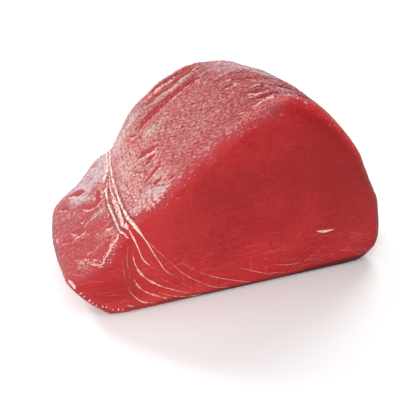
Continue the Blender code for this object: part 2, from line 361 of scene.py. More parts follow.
def traced(table):
    """Marks along lines on the side. A row holds a line's points, landmark number and share of the thickness,
    then its half width in mm and its amount. A mark is a bell curve of the distance from its line, drawn in at
    both ends by the root of 4u(1 - u). Its lip is a narrower mark 1.2 half widths in front of it."""
    marks, lips = np.zeros((2, *along.shape))
    for *line, half_width, amount in table:
        line_numbers, line_shares = np.array(line).T
        x, y = along_of(line_numbers), line_shares * THICKNESS / MM
        length = np.hypot(np.diff(x), np.diff(y))
        start = np.cumsum(length) - length
        nearest, offside, past, done = np.full((4, *along.shape), np.inf)
        for k, (dx, dy) in enumerate(zip(np.diff(x) / length, np.diff(y) / length)):
            reach = (ragged_along - x[k]) * dx + (ragged_across - y[k]) * dy
            held = np.clip(reach, 0, length[k])
            aside = ((ragged_across - y[k]) * dx - (ragged_along - x[k]) * dy) * np.sign(dx)
            away = np.hypot(reach - held, aside)
            closer = away < nearest
            nearest, offside = np.where(closer, away, nearest), np.where(closer, aside, offside)
            past = np.where(closer, reach - held, past)
            done = np.where(closer, (start[k] + held) / length.sum(), done)
        width = half_width * np.sqrt(np.clip(4 * done * (1 - done), 0.15, 1))
        marks += amount * bell(nearest, width)
        lips += amount * bell(offside + 1.2 * width, 0.45 * half_width) * bell(past, 0.5)
    return marks, lips


with_flakes, over_flakes = slanted(along, across, FLAKE_SLANT)
on_lobe = span(number, 10.2, 10.9, 13.6, 14.6)
on_crest = np.clip(ramp(7.9, 7.0, number) + ramp(0.6, 0.8, share) * ramp(9.6, 8.8, number), 0, 1)

# The film stops at a ragged edge on the front rim, given by landmark number and how far across it lies in mm,
# and at another on the back rim, which reaches further over from the brow to the foot.
FILM_EDGE = (
    (0.0, 1.5), (4.5, -0.3), (5.0, -2.0), (5.4, -2.6), (5.7, -1.8), (5.9, -2.4), (6.2, -5.5), (6.6, -6.4),
    (6.9, -5.2), (7.1, -3.8), (7.3, -2.0), (7.45, -1.4), (7.6, 0.4), (7.75, 1.2), (7.9, -0.2), (8.0, 0.8),
    (8.13, 2.7), (8.25, 2.0), (8.38, 1.1), (8.48, -0.6), (8.64, 0.4), (8.72, -0.6), (8.86, -2.3), (8.98, -2.6),
    (9.17, -2.0), (9.45, -0.6), (9.6, 0.0), (9.77, 2.1), (9.95, 4.1), (10.17, 3.1), (10.29, 2.6), (10.44, 0.9),
    (10.62, -0.2), (10.85, -1.7), (11.18, -3.3), (11.58, -2.6), (11.92, -2.5), (12.23, -3.4), (12.6, -3.5),
    (13.0, -2.8), (13.4, -1.5), (16.0, 1.5),
)
edge_numbers, edge_across = np.array(FILM_EDGE).T
inside_edge = across - np.interp(number, edge_numbers, edge_across) + 0.7 * flutter + 0.8 * shiver
on_slope = span(number, 6.4, 7.0, 9.0, 9.6)
over_back = 2.5 + 2.2 * on_slope
inside_edge = np.minimum(inside_edge, THICKNESS / MM - across + over_back + 1.2 * flutter + 0.8 * shiver)
edge_softness = 0.5 + 0.9 * ramp(8.8, 8.2, number)

# Marks on the side: points by landmark number and share of the thickness, then half width in mm and amount.
# First come the tears in the film down to bare flesh, each with a pale lip in front.
TEARS = (
    ((8.96, 0.45), (8.86, 0.44), (8.74, 0.43), (8.63, 0.41), (8.52, 0.40), 1.5, 1.1),
    ((8.78, 0.37), (8.70, 0.35), (8.61, 0.34), 1.4, 1.1), ((8.93, 0.34), (8.84, 0.34), (8.74, 0.32), 0.8, 0.9),
    ((8.97, 0.19), (8.89, 0.20), (8.81, 0.21), (8.73, 0.22), (8.66, 0.22), (8.60, 0.25), 1.2, 0.9),
    ((8.89, 0.13), (8.81, 0.11), (8.75, 0.11), 1.1, 1.2), ((8.63, 0.05), (8.56, 0.05), (8.51, 0.04), 1.1, 0.9),
    ((9.03, 0.77), (8.89, 0.71), (8.79, 0.68), 0.9, 0.7), ((8.99, 0.61), (8.90, 0.59), 0.8, 0.7),
    ((8.57, 0.47), (8.50, 0.45), 0.6, 0.8),
    ((8.72, 0.69), (8.59, 0.74), (8.43, 0.76), (8.28, 0.76), (8.13, 0.76), (7.97, 0.76), (7.81, 0.76),
     (7.68, 0.75), (7.56, 0.75), (7.42, 0.74), (7.32, 0.74), (7.18, 0.74), 1.8, 1.2),
    ((8.15, 0.90), (7.98, 0.90), (7.83, 0.89), (7.67, 0.86), (7.49, 0.85), (7.35, 0.87), (7.19, 0.87),
     (7.04, 0.90), (6.88, 0.94), 1.5, 1.1),
    ((8.06, 0.99), (7.89, 0.98), (7.75, 0.97), (7.58, 0.97), (7.42, 0.98), (7.29, 0.97), 0.9, 0.9),
    ((6.68, 0.18), (6.56, 0.16), (6.43, 0.14), (6.26, 0.12), 1.5, 1.2),
    ((6.72, 0.07), (6.57, 0.05), (6.41, 0.04), (6.21, 0.05), 1.5, 1.1),
    ((6.40, 0.42), (6.31, 0.39), (6.23, 0.34), 1.1, 0.9), ((6.17, 0.42), (6.04, 0.40), (5.96, 0.38), 0.7, 0.9),
    ((6.99, 0.39), (6.84, 0.39), (6.72, 0.41), 1.8, 0.8), ((7.01, 0.72), (6.92, 0.72), (6.82, 0.70), 0.9, 0.7),
    ((7.25, 0.32), (7.17, 0.34), 0.9, 0.6),
    ((12.27, 0.96), (12.07, 0.92), (11.84, 0.85), (11.59, 0.80), 1.6, 1.3),
    ((11.51, 0.03), (11.21, 0.02), (10.93, 0.02), (10.69, 0.04), 2.8, 1.3),
    ((11.66, 0.60), (11.39, 0.55), (11.18, 0.51), (10.94, 0.49), (10.72, 0.49), 1.5, 1),
    ((11.00, 0.48), (10.87, 0.51), (10.84, 0.56), (10.93, 0.63), 2.2, 0.9),
    ((12.56, 0.85), (12.37, 0.80), (12.27, 0.75), 1.6, 0.9), ((12.75, 0.81), (12.65, 0.83), 1.2, 0.8),
    ((10.70, 0.28), (10.54, 0.28), 1, 0.8), ((10.67, 0.18), (10.44, 0.16), (10.36, 0.16), 1.6, 1),
    ((12.26, 0.42), (11.96, 0.37), (11.64, 0.34), 2.6, 0.7), ((11.89, 0.47), (11.68, 0.48), 2, 0.7),
    ((10.71, 0.08), (10.52, 0.07), 1.2, 0.9), ((12.30, 0.10), (12.08, 0.09), (11.90, 0.08), 2.6, 0.6),
    ((12.70, 0.36), (12.10, 0.30), 1.0, 0.6), ((13.30, 0.62), (12.60, 0.56), 1.2, 0.9),
    ((13.20, 0.28), (12.70, 0.22), 1.0, 0.8), ((5.90, 0.60), (5.40, 0.50), 1.1, 0.8),
    ((5.30, 0.36), (4.80, 0.26), 1.1, 0.8), ((5.60, 0.84), (5.00, 0.76), 1.2, 0.8),
    ((4.40, 0.62), (3.80, 0.52), 1.2, 0.7),
)
# Ridges of thick beige film, and thin raised cream lines.
RIDGES = (
    ((8.99, 0.41), (8.90, 0.41), (8.80, 0.39), 1.1, 1.1), ((8.70, 0.40), (8.62, 0.37), (8.56, 0.34), 0.8, 0.9),
    ((8.88, 0.17), (8.79, 0.16), (8.71, 0.15), 1, 1.3), ((8.74, 0.28), (8.69, 0.28), (8.62, 0.27), 0.8, 1),
    ((8.83, 0.25), (8.76, 0.26), 0.8, 1), ((8.71, 0.10), (8.63, 0.10), (8.56, 0.11), 1.2, 0.7),
    ((8.73, 0.51), (8.67, 0.53), 1.2, 0.8),
    ((9.58, 0.05), (9.25, 0.02), (8.95, 0.02), (8.80, 0.02), (8.72, 0.01), 3.4, 0.6),
    ((9.61, -0.00), (9.45, -0.01), 0.7, 1.2), ((9.79, 0.37), (9.63, 0.34), 1, 0.9),
    ((9.55, 0.47), (9.38, 0.36), 2, 0.5), ((9.15, 0.30), (9.02, 0.26), 1.8, 0.6),
    ((8.68, 0.59), (8.50, 0.60), (8.30, 0.60), (8.14, 0.60), 3.2, 0.6),
    ((8.38, 0.88), (8.27, 0.87), (8.07, 0.84), (7.89, 0.84), (7.72, 0.83), (7.58, 0.81), (7.42, 0.81),
     (7.29, 0.81), (7.13, 0.84), (6.99, 0.84), 1.5, 1.1), ((8.95, 0.90), (8.73, 0.91), (8.47, 0.89), 2.5, 0.6),
    ((6.92, 0.58), (6.72, 0.60), (6.48, 0.63), (6.27, 0.64), 1.3, 0.9),
    ((7.09, 0.72), (6.99, 0.76), (6.87, 0.78), 0.8, 1.2),
    ((6.26, 0.10), (6.04, 0.06), (5.82, 0.02), (5.64, -0.01), 0.9, 0.8),
    ((6.16, 0.35), (6.03, 0.35), (5.95, 0.35), 0.9, 0.9), ((7.16, 0.61), (7.09, 0.60), (7.05, 0.59), 0.8, 0.9),
    ((6.97, 0.30), (6.90, 0.25), 1.6, 0.5),
    ((12.17, 0.87), (11.91, 0.79), (11.60, 0.71), (11.30, 0.63), (11.12, 0.61), 1.7, 1.2),
    ((11.48, 0.39), (11.25, 0.39), (10.98, 0.38), (10.73, 0.37), (10.51, 0.36), 1.9, 1.1),
    ((11.92, 0.28), (11.70, 0.27), (11.46, 0.25), 1.6, 0.6),
    ((11.15, 0.18), (10.94, 0.16), (10.70, 0.14), 1.2, 0.7),
    ((12.15, 0.64), (12.03, 0.65), (11.87, 0.66), 0.9, 0.6),
    ((12.32, -0.00), (12.10, 0.00), (11.86, -0.00), 2.6, 0.5), ((12.60, 0.70), (12.30, 0.62), 1.6, 0.5),
    ((13.10, 0.44), (12.60, 0.40), 1.4, 0.5),
)
CREAM_LINES = (
    ((8.30, 0.95), (8.05, 0.95), (7.84, 0.94), (7.63, 0.95), (7.42, 0.94), (7.27, 0.93), 0.8, 1),
    ((7.86, 0.71), (7.75, 0.71), (7.63, 0.69), (7.51, 0.68), 0.6, 1.1),
    ((6.81, 0.14), (6.70, 0.12), (6.58, 0.11), (6.44, 0.10), (6.28, 0.10), 0.6, 1.2),
    ((6.62, 0.00), (6.48, -0.01), (6.36, -0.01), (6.22, -0.01), 0.6, 1.2),
    ((6.22, 0.04), (6.25, -0.01), 0.45, 0.9),
    ((6.70, 0.25), (6.54, 0.24), (6.37, 0.23), (6.17, 0.20), (5.97, 0.15), (5.86, 0.07), 0.5, 1),
    ((6.41, 0.33), (6.26, 0.28), (6.08, 0.22), (5.90, 0.18), 0.5, 0.7),
    ((6.91, 0.47), (6.77, 0.48), (6.63, 0.49), 0.6, 1.1), ((6.80, 0.34), (6.65, 0.37), 0.5, 1),
    ((6.96, 0.02), (6.81, -0.00), (6.61, -0.01), 0.6, 0.9),
    ((7.26, 0.05), (7.11, 0.03), (7.04, 0.02), 0.5, 0.7),
    ((5.99, 0.02), (5.88, -0.02), (5.72, -0.04), (5.58, -0.06), (5.50, -0.07), 0.5, 0.8),
    ((6.77, 0.73), (6.67, 0.72), (6.69, 0.67), 0.5, 0.9), ((6.85, 0.80), (6.70, 0.77), 0.5, 0.8),
    ((7.21, 0.67), (7.16, 0.73), (7.12, 0.72), (7.16, 0.66), 0.45, 1),
    ((11.61, 0.09), (11.44, 0.10), (11.20, 0.10), (10.93, 0.07), 0.4, 0.7),
    ((11.32, 0.21), (11.16, 0.20), (11.01, 0.20), 0.45, 0.9),
    ((10.57, 0.14), (10.46, 0.13), (10.36, 0.15), 0.4, 0.5),
    ((10.80, 0.13), (10.64, 0.10), (10.44, 0.07), (10.39, 0.05), 0.4, 0.5),
    ((12.31, 0.31), (12.11, 0.33), (11.94, 0.33), (11.72, 0.31), 0.4, 0.7),
    ((12.67, 0.46), (12.51, 0.43), (12.36, 0.43), (12.13, 0.44), (11.92, 0.43), 0.4, 0.5),
    ((11.74, 0.37), (11.67, 0.39), (11.54, 0.40), 0.5, 0.9),
    ((10.70, 0.29), (10.57, 0.29), (10.48, 0.29), 0.5, 0.9),
    ((11.90, 0.08), (11.78, 0.09), (11.61, 0.09), 0.4, 0.7), ((12.45, 0.18), (12.32, 0.19), 0.4, 0.6),
    ((11.72, 0.97), (11.28, 0.94), (10.87, 0.93), (10.64, 0.94), 0.6, 0.7),
    ((10.92, 0.77), (10.76, 0.78), (10.65, 0.78), 0.6, 0.7), ((10.48, 0.82), (10.37, 0.84), 0.9, 0.8),
    ((7.41, -0.06), (7.34, -0.07), 0.4, 0.35),
    ((8.33, -0.04), (8.29, -0.03), (8.24, -0.04), (8.19, -0.07), 0.4, 0.4),
    ((8.20, -0.00), (8.14, -0.03), (8.09, -0.05), 0.4, 0.4), ((8.55, -0.08), (8.51, -0.08), 0.4, 0.4),
    ((8.03, -0.09), (7.97, -0.10), 0.35, 0.45),
    ((13.40, 0.53), (12.80, 0.47), 0.45, 0.6), ((5.20, 0.60), (4.80, 0.48), (4.50, 0.40), 0.45, 0.6),
    ((5.50, 0.30), (5.10, 0.16), (4.90, 0.02), 0.45, 0.7),
)
# Thin creases between the film's pleats, sunk and darkened with painted shade.
CREASES = (
    ((9.32, 0.42), (9.18, 0.36), (9.02, 0.31), (8.92, 0.28), (8.84, 0.27), 0.35, 1),
    ((8.95, 0.14), (8.84, 0.09), (8.71, 0.04), (8.64, 0.00), 0.3, 0.7),
    ((8.96, 0.45), (8.90, 0.43), (8.78, 0.41), 0.3, 0.6),
)
tearing = noise(with_flakes / 9, over_flakes / 4.5 + 0.6 * sway, 17)
tearing = tearing + 0.6 * noise(with_flakes / 4, over_flakes / 2, 19)
tears, tear_lips = traced(TEARS)
bare = ramp(0.32, 0.62, tears + 0.22 * tearing + 0.12 * shiver)
grey = traced(RIDGES)[0]
cream = traced(CREAM_LINES)[0]

# On the crest and over the lobe the flakes show as lenses: bare and sunken, with a pale torn edge in front.
lens_phase = over_flakes / 3.9 + 0.6 * sway + 0.3 * noise(with_flakes / 7, over_flakes / 4, 6)
lens_row = np.floor(lens_phase)
within_row = lens_phase - lens_row
lens = ramp(0.0, 0.22, noise(with_flakes / 10 + 5.37 * lens_row, 0.37 * lens_row, 21))
lens = lens * np.clip(0.7 * on_crest + 0.55 * on_lobe, 0, 1) * ramp(0.55, 0.25, grey + cream + tears)
lens_edge = bell(within_row - 0.10, 0.085) * lens
lens_sink = span(within_row, 0.04, 0.16, 0.5, 1.0) * lens
broken = ramp(-0.30, 0.05, noise(with_flakes / 1.5, over_flakes / 1.5, 23))
tear_lips = 0.8 * tear_lips * (1 - bare) * ramp(-1.5, 0.5, across)
pale_line = np.clip(0.55 * lens_edge + 0.85 * cream + tear_lips, 0, 1) * broken


def granules(slant, seed):
    """Raised grains of leather: 0 in the creases of a net of cells drawn out along a slant, and up to 1 on the
    tops, which noise roughens."""
    ahead, over = slanted(along, across, slant)
    outlines = ramp(0.0, 0.4, cells(ahead / 3.0 + 0.6 * flutter, over / 2.0 + 0.6 * sway, seed))
    return np.clip(outlines * (0.70 + 0.8 * noise(ahead / 1.5, over / 0.95, seed + 1)), 0, 1)


lying = ramp(-23, -33, along) * ramp(46, 38, across)
grain = granules(LOW_SLANT, 9) * (1 - lying) + granules(HIGH_SLANT, 12) * lying

# The film is whitest, partly from its own paler colour and partly as painted sheen and light, on the small lobe
# towards the back, over the fold towards the back, behind the crest, over the back rim, in a patch at the
# slope's foot and near it, beside the fold, and on the edge below the crest.
lobe_top = ramp(0.62, 0.82, share) * span(number, 9.8, 10.5, 11.9, 12.5)
fold_top = ramp(0.78, 0.92, share) * span(number, 8.0, 8.5, 10.0, 10.6)
behind_crest = ramp(0.50, 0.85, share + 0.35 * ramp(6.3, 5.8, number)) * ramp(7.0, 6.5, number)
foot_patch = bell(along + 22, 6) * bell(across - 3, 5)
fold_side = bell(along + 8, 7) * ramp(0.2, 0.5, share)
back_edge = ramp(60.0, 61.5, across) * on_slope
low_slope = bell(along + 14, 8) * bell(across - 6, 6)
below_crest = span(number, 5.4, 5.65, 5.95, 6.2) * span(across, -2, 0.5, 6, 15)
lobe_back = ramp(56, 59, across) * bell(number - 12.5, 0.4)
white_film_and_sheen = (1.2 * lobe_top + 0.5 * fold_top + 0.9 * behind_crest) * ramp(4.4, 5.2, number)
white_film_and_sheen = white_film_and_sheen + 0.5 * foot_patch + 0.25 * fold_side + 0.8 * back_edge + 0.3 * low_slope
white_film_and_sheen = white_film_and_sheen + 0.25 * below_crest + 0.6 * lobe_back
white_film_and_sheen = np.clip(white_film_and_sheen + 0.5 * noise(with_flakes / 8, over_flakes / 4, 33), 0, 1) * (white_film_and_sheen > 0.02)

# How much of the film covers each place: more beside the fold and on its thick ridges, less on the lobe's
# front, towards the right, near the front edge and in the grooves. It is gone in tears and thin in lenses.
cover = 0.58 + 0.32 * tearing + 0.30 * bell(along + 11, 11) + 0.5 * grey
cover = cover - 0.12 * ramp(7.6, 6.2, number) - on_lobe * (0.54 - 0.40 * ramp(0.3, 0.70, share))
cover = cover - 0.20 * bell(inside_edge - 5, 8) * ramp(8.9, 8.5, number) - 0.5 * troughs / MM + 0.4 * white_film_and_sheen
cover = cover + 0.40 * bell(along - 9.5, 3.5) * ramp(0.3, 0.45, share) + 0.05 * on_lobe + 0.4 * below_crest
film = np.clip(cover, 0.12, 1) * (1 - bare) * (1 - 0.85 * lens_sink * (1 - 0.8 * below_crest))
film = film * ramp(-edge_softness, edge_softness, inside_edge + 3.0 * (grain - 0.5)) * ramp(1.2, 3.4, number)
greyed = np.clip(0.30 + 0.5 * noise(with_flakes / 11, over_flakes / 6, 31) + 0.8 * grey, 0, 1)
greyed = greyed * ramp(6.0, 7.6, number) * (1 - 0.8 * bell(along + 16, 7) * bell(across - 1, 9))
on_side_only = ramp(-9.0, -4.0, inside_edge)
specks = ramp(-12.0, -1.0, inside_edge) * span(number, 1.2, 3.4, 8.5, 9.3)
specks = np.maximum(0.26 * specks, (0.42 + 0.2 * on_lobe) * film)

# A crease runs down each side of the strands in the fold, whose paths are given by landmark number and share.
# It is sunk into the flesh, and its darker colour is painted shade.
LEFT_STRAND = (
    (10.36, 0.60), (10.39, 0.565), (10.44, 0.50), (10.45, 0.42), (10.44, 0.37), (10.40, 0.32), (10.35, 0.225),
    (10.28, 0.12), (10.24, 0.035), (10.17, -0.016), (10.15, -0.056),
)
RIGHT_STRAND = (
    (10.12, 0.99), (10.11, 0.90), (10.12, 0.80), (10.09, 0.685), (10.05, 0.60), (10.02, 0.525), (10.00, 0.40),
    (9.96, 0.265), (9.90, 0.125), (9.86, 0.055), (9.80, -0.014), (9.81, -0.062),
)
BETWEEN_STRANDS = (
    (10.21, 0.385), (10.17, 0.33), (10.15, 0.28), (10.12, 0.22), (10.10, 0.16), (10.09, 0.11), (10.05, 0.05),
    (9.99, -0.01),
)
beside = np.full(along.shape, 99.0)
for table in (LEFT_STRAND, RIGHT_STRAND):
    strand_number, strand_share = np.array(table)[::-1].T
    fitted = np.interp(across, strand_share * THICKNESS / MM, along_of(strand_number))
    reach = span(across, -5, 0, 56, 60)
    beside = np.minimum(beside, np.abs(along - fitted) + 9 * (1 - reach))
crease_and_shade = traced(CREASES + ((*BETWEEN_STRANDS, 2.0, 0.8),))[0]
crease_and_shade = np.clip(ramp(0.75, 0.35, share) * bell(beside - 1.25, 0.55) + crease_and_shade, 0, 1)

# The fine relief in mm. The film stands proud on its grains and sinks between them, lenses, bare flesh and
# creases lie lower, and pale edges and ridges a little higher. It fades out just above the base.
GRAIN_START = 1 * MM
GRAIN_FULL = 6 * MM
covered = np.clip(1.4 * film, 0, 1)
fine_relief = covered * (0.30 - 0.60 * (1 - grain)) - 0.35 * lens_sink - 0.25 * bare - 0.35 * crease_and_shade
fine_relief = fine_relief + 0.25 * pale_line + 0.25 * np.clip(grey, 0, 1) * film
fine_relief = fine_relief * on_side_only - 0.15 * ramp(-14, -2, inside_edge)
fine_relief = MM * fine_relief * ramp(GRAIN_START, GRAIN_FULL, smooth_body[..., 2])

# The frame gives the place: the middle of the smooth body's box goes over the middle of the solid's, and its
# base on the solid's base.
body_low, body_high = smooth_body.reshape(-1, 3).min(axis=0), smooth_body.reshape(-1, 3).max(axis=0)
solid_low, solid_high = (np.array(corner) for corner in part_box("tuna_steak"))
to_frame = (solid_low + solid_high) / 2 - (body_low + body_high) / 2
to_frame[2] = solid_low[2] - body_low[2]
body = smooth_body + body_normals * fine_relief[..., None]


def shells(points):
    """Vertices, quads and triangles of closed shells from an array of shell, ring, column and value. The first
    three values are a point. Quads join neighbouring rings, and a fan closes each end at its ring's mean."""
    count, rings, columns, values = points.shape
    size = rings * columns + 2
    poles = np.stack([points[:, 0].mean(axis=1), points[:, -1].mean(axis=1)], axis=1)
    vertices = np.concatenate([points.reshape(count, -1, values), poles], axis=1)
    index = np.arange(rings * columns).reshape(rings, columns)
    following = np.roll(index, -1, axis=1)
    quads = np.stack([index[:-1], index[1:], following[1:], following[:-1]], axis=-1).reshape(-1, 4)
    start = np.stack([np.full(columns, size - 2), index[0], following[0]], axis=-1)
    end = np.stack([np.full(columns, size - 1), following[-1], index[-1]], axis=-1)
    offset = (np.arange(count) * size)[:, None, None]
    fans = np.concatenate([start, end]) + offset
    return vertices.reshape(-1, values), (quads + offset).reshape(-1, 4), fans.reshape(-1, 3)


def flesh_object(name, groups, value_names=()):
    """One object from groups of shells, moved into the frame and held inside the solid's box. Values past the
    point become attributes."""
    starts = np.cumsum([0] + [len(group[0]) for group in groups])
    vertices = np.concatenate([group[0] for group in groups])
    quads = np.concatenate([group[1] + start for group, start in zip(groups, starts)])
    fans = np.concatenate([group[2] + start for group, start in zip(groups, starts)])
    sizes = np.concatenate([np.full(len(quads), 4), np.full(len(fans), 3)])
    mesh = bpy.data.meshes.new(name)
    mesh.vertices.add(len(vertices))
    held = np.clip(vertices[:, :3] + to_frame, solid_low, solid_high)
    mesh.vertices.foreach_set("co", held.astype(np.float32).ravel())
    mesh.loops.add(sizes.sum())
    mesh.loops.foreach_set("vertex_index", np.concatenate([quads.ravel(), fans.ravel()]).astype(np.int32))
    mesh.polygons.add(len(sizes))
    mesh.polygons.foreach_set("loop_start", (np.cumsum(sizes) - sizes).astype(np.int32))
    mesh.update(calc_edges=True)
    for key, value_name in enumerate(value_names, start=3):
        attribute = mesh.attributes.new(value_name, "FLOAT", "POINT")
        attribute.data.foreach_set("value", vertices[:, key].astype(np.float32))
    mesh.shade_smooth()
    piece = bpy.data.objects.new(name, mesh)
    bpy.context.scene.collection.objects.link(piece)
    return piece


# A thin dark line on the lobe's lower rim, what is left of the dark skin in a patchy strip down its outer side,
# and painted light on the front rim at the right, in a brighter red.
# A thin dark line along the lobe's lower rim.
dark_rim_line = 0.75 * bell(across + 4.9, 0.8) * span(number, 12.9, 13.4, 15.2, 15.6)
flank_skin = 0.6 * ramp(42.6, 44.8, along + 0.4 * flutter) * ramp(53, 49, along) * ramp(-3, 3, across)
flank_skin = flank_skin * ramp(62, 59, across + flutter) * np.clip(0.6 + 1.3 * tearing, 0.1, 1)
# Painted light: a brighter red on the front rim at the right, where the lamps light it too little.
painted_rim_light = bell(across + 4.5, 4) * span(number, 3.0, 4.2, 5.2, 6.6)
fields = {
    "film": film,
    "grain": grain - 0.16 * on_lobe,
    "greyed": greyed,
    "pale_line": pale_line * on_side_only,
    "specks": specks,
    "side": ramp(-7, -0.5, inside_edge),
    "crease_and_shade": crease_and_shade * on_side_only,
    "along": along,
    "across": across,
    "lying": lying,
    "white_film_and_sheen": white_film_and_sheen,
    "skin_and_dark_rim": np.maximum(dark_rim_line, flank_skin),
    "painted_rim_light": painted_rim_light,
}
stacked = np.concatenate([body, np.stack(list(fields.values()), axis=-1)], axis=-1)[None]
steak = flesh_object("steak_flesh", [shells(stacked)], list(fields))


class Finish:
    """A material being made. Each input of a node is a socket to link or a value to set."""

    def __init__(self, name):
        self.material = bpy.data.materials.new(name)
        self.material.use_nodes = True
        self.tree = self.material.node_tree
        self.shader = self.tree.nodes["Principled BSDF"]

    def give(self, node, inputs):
        """Links or sets some of a node's inputs."""
        for key, value in dict(inputs).items():
            if isinstance(value, bpy.types.NodeSocket):
                self.tree.links.new(value, node.inputs[key])
            else:
                node.inputs[key].default_value = value

    def add(self, kind, inputs=(), **settings):
        """A new node of a kind, with its settings and inputs."""
        node = self.tree.nodes.new("ShaderNode" + kind)
        for key, value in settings.items():
            setattr(node, key, value)
        self.give(node, inputs)
        return node

    def maths(self, operation, first, second=0.0):
        """The result of a sum on one or two values."""
        return self.add("Math", {0: first, 1: second}, operation=operation).outputs[0]

    def stretch(self, value, low, high, to_low=0.0, to_high=1.0):
        """A value mapped from one range to another, and held inside it."""
        inputs = {"Value": value, "From Min": low, "From Max": high, "To Min": to_low, "To Max": to_high}
        return self.add("MapRange", inputs).outputs[0]

    def noise(self, vector, scale, detail, **more):
        """Noise round 0.5 on a vector."""
        inputs = {"Vector": vector, "Scale": scale, "Detail": detail, **more}
        return self.add("TexNoise", inputs).outputs["Fac"]

    def layered(self, colour, *layers):
        """A colour under layers of others. A layer is its amount and its colour."""
        for amount, over in layers:
            colour = self.add("Mix", {0: amount, 6: colour, 7: over}, data_type="RGBA").outputs[2]
        return colour

    def bump(self, height, strength, distance):
        """A normal tilted by the slope of a height."""
        return self.add("Bump", {"Height": height, "Strength": strength, "Distance": distance}).outputs[0]


FLESH_DEEP = (0.31, 0.0065, 0.009, 1)
FLESH_RED = (0.49, 0.017, 0.021, 1)
FLESH_PALE = (0.66, 0.11, 0.10, 1)
FOLD_SHADE_BROWN = (0.30, 0.022, 0.014, 1)
SIDE_RED = (0.445, 0.036, 0.048, 1)
FILM_PINK = (0.61, 0.163, 0.168, 1)
FILM_GREY = (0.57, 0.40, 0.31, 1)
FILM_AND_SHEEN_WHITE = (0.60, 0.46, 0.49, 1)
CREASE_RED = (0.24, 0.040, 0.046, 1)
SPECK_AND_HIGHLIGHT_PALE = (0.88, 0.58, 0.53, 1)
SKIN_AND_SHADOW_DARK = (0.07, 0.008, 0.007, 1)
RIM_LIGHT_RED = (0.74, 0.010, 0.014, 1)
FOLD_SHADE_PLACE = 6 * MM
SPOT_SCALE = 800.0

tuna = Finish("raw_tuna")
where = tuna.add("TexCoord").outputs["Object"]
values = {key: tuna.add("Attribute", attribute_name=key).outputs["Fac"] for key in fields}
place_x, _, place_z = tuna.add("SeparateXYZ", {0: where}).outputs

# Flesh: deep and brighter red in slow clouds with a fine mottle, with painted light making it paler to the left
# but for the tip and along the lower left edge, with flat streaks, hairlines low down, a painted brownish shade
# in the hollow below the fold and painted light in a brighter red on the rim at the right.
mottled = tuna.stretch(tuna.noise(where, 620.0, 2.0), 0.3, 0.7, -0.10, 0.10)
lying_flat = tuna.add("Mapping", {"Vector": where, "Scale": (190.0, 190.0, 560.0), "Rotation": (0, 0.15, 0)})
streaks = tuna.noise(lying_flat.outputs[0], 1.0, 3.0)
waves = tuna.add("Mapping", {"Vector": where, "Scale": (48.0, 48.0, 230.0), "Rotation": (0, 0.2, 0)})
waves = tuna.noise(waves.outputs[0], 1.0, 1.5, Distortion=0.6)
off_line = tuna.maths("ABSOLUTE", tuna.maths("SUBTRACT", waves, 0.5))
low_down = tuna.stretch(place_z, 14 * MM, 44 * MM, 0.42, 0)
hairline = tuna.maths("MULTIPLY", tuna.stretch(off_line, 0.0, 0.018, 1, 0), low_down)
# Painted shade: a brownish band down the shallow hollow between the small lobe's face and the main cut, below
# the fold.
off_fold_shade = tuna.maths("ABSOLUTE", tuna.maths("SUBTRACT", place_x, float(to_frame[0]) + FOLD_SHADE_PLACE))
painted_fold_shade = tuna.stretch(off_fold_shade, 1 * MM, 5 * MM, 1, 0)
painted_fold_shade = tuna.maths("MULTIPLY", painted_fold_shade, tuna.stretch(place_z, 30 * MM, 44 * MM, 0.55, 0))
# Painted light: paler towards the left, where the light comes from, but not at the tip.
painted_left_light = tuna.stretch(place_x, -60 * MM, 55 * MM, 0.14, -0.10)
painted_left_light = tuna.maths("MULTIPLY", painted_left_light, tuna.stretch(place_x, -72 * MM, -40 * MM, -0.4, 1))
# Painted light: paler along the lower left edge near the base.
painted_low_left_light = tuna.stretch(place_z, 4 * MM, 12 * MM, 1, 0)
painted_low_left_light = tuna.maths("MULTIPLY", painted_low_left_light, tuna.stretch(place_x, 0, -30 * MM))
clouds = tuna.noise(where, 22.0, 2.0)
for more in (painted_left_light, mottled, tuna.stretch(painted_low_left_light, 0, 1, 0, 0.25)):
    clouds = tuna.maths("ADD", clouds, more)
flesh = tuna.layered(
    FLESH_DEEP,
    (tuna.stretch(clouds, 0.35, 0.70), FLESH_RED),
    (tuna.stretch(painted_left_light, 0.0, 0.14, 0, 0.09), FLESH_PALE),
    (tuna.stretch(painted_low_left_light, 0, 1, 0, 0.14), FLESH_PALE),
    (tuna.stretch(streaks, 0.46, 0.80, 0, 0.08), FLESH_PALE),
    (hairline, FLESH_PALE),
    (painted_fold_shade, FOLD_SHADE_BROWN),
    (tuna.stretch(values["painted_rim_light"], 0, 1, 0, 0.85), RIM_LIGHT_RED),
)

# The outer side: bare pinkish flesh, the film over it, whiter in places partly as painted sheen, with pale
# grain tops that are partly painted highlight and dark creases, and pale specks.
DASH_SIZE = (1.5, 0.85, 1)
side_where = tuna.add("CombineXYZ", {0: values["along"], 1: values["across"]}).outputs[0]


def drawn_out(slant):
    """Noise on the side's own coordinates, drawn out along a slant to the dashes' size in mm."""
    turned = {"Vector": side_where, "Rotation": (0, 0, slant), "Scale": DASH_SIZE}
    turned = tuna.add("Mapping", turned, vector_type="TEXTURE").outputs[0]
    return tuna.noise(turned, 1.0, 1.0, Roughness=0.6, Distortion=0.25)


dashes = {0: values["lying"], 2: drawn_out(LOW_SLANT), 3: drawn_out(HIGH_SLANT)}
dashes = tuna.add("Mix", dashes, data_type="FLOAT").outputs[0]
tone = tuna.stretch(dashes, 0.34, 0.66, 0, 0.5)
tone = tuna.maths("ADD", tone, tuna.stretch(values["grain"], 0, 1, 0, 0.5))
creased = tuna.stretch(tone, 0.12, 0.46, 0.9, 0)
creased = tuna.maths("MULTIPLY", creased, tuna.stretch(values["white_film_and_sheen"], 0, 1, 1, 0.5))
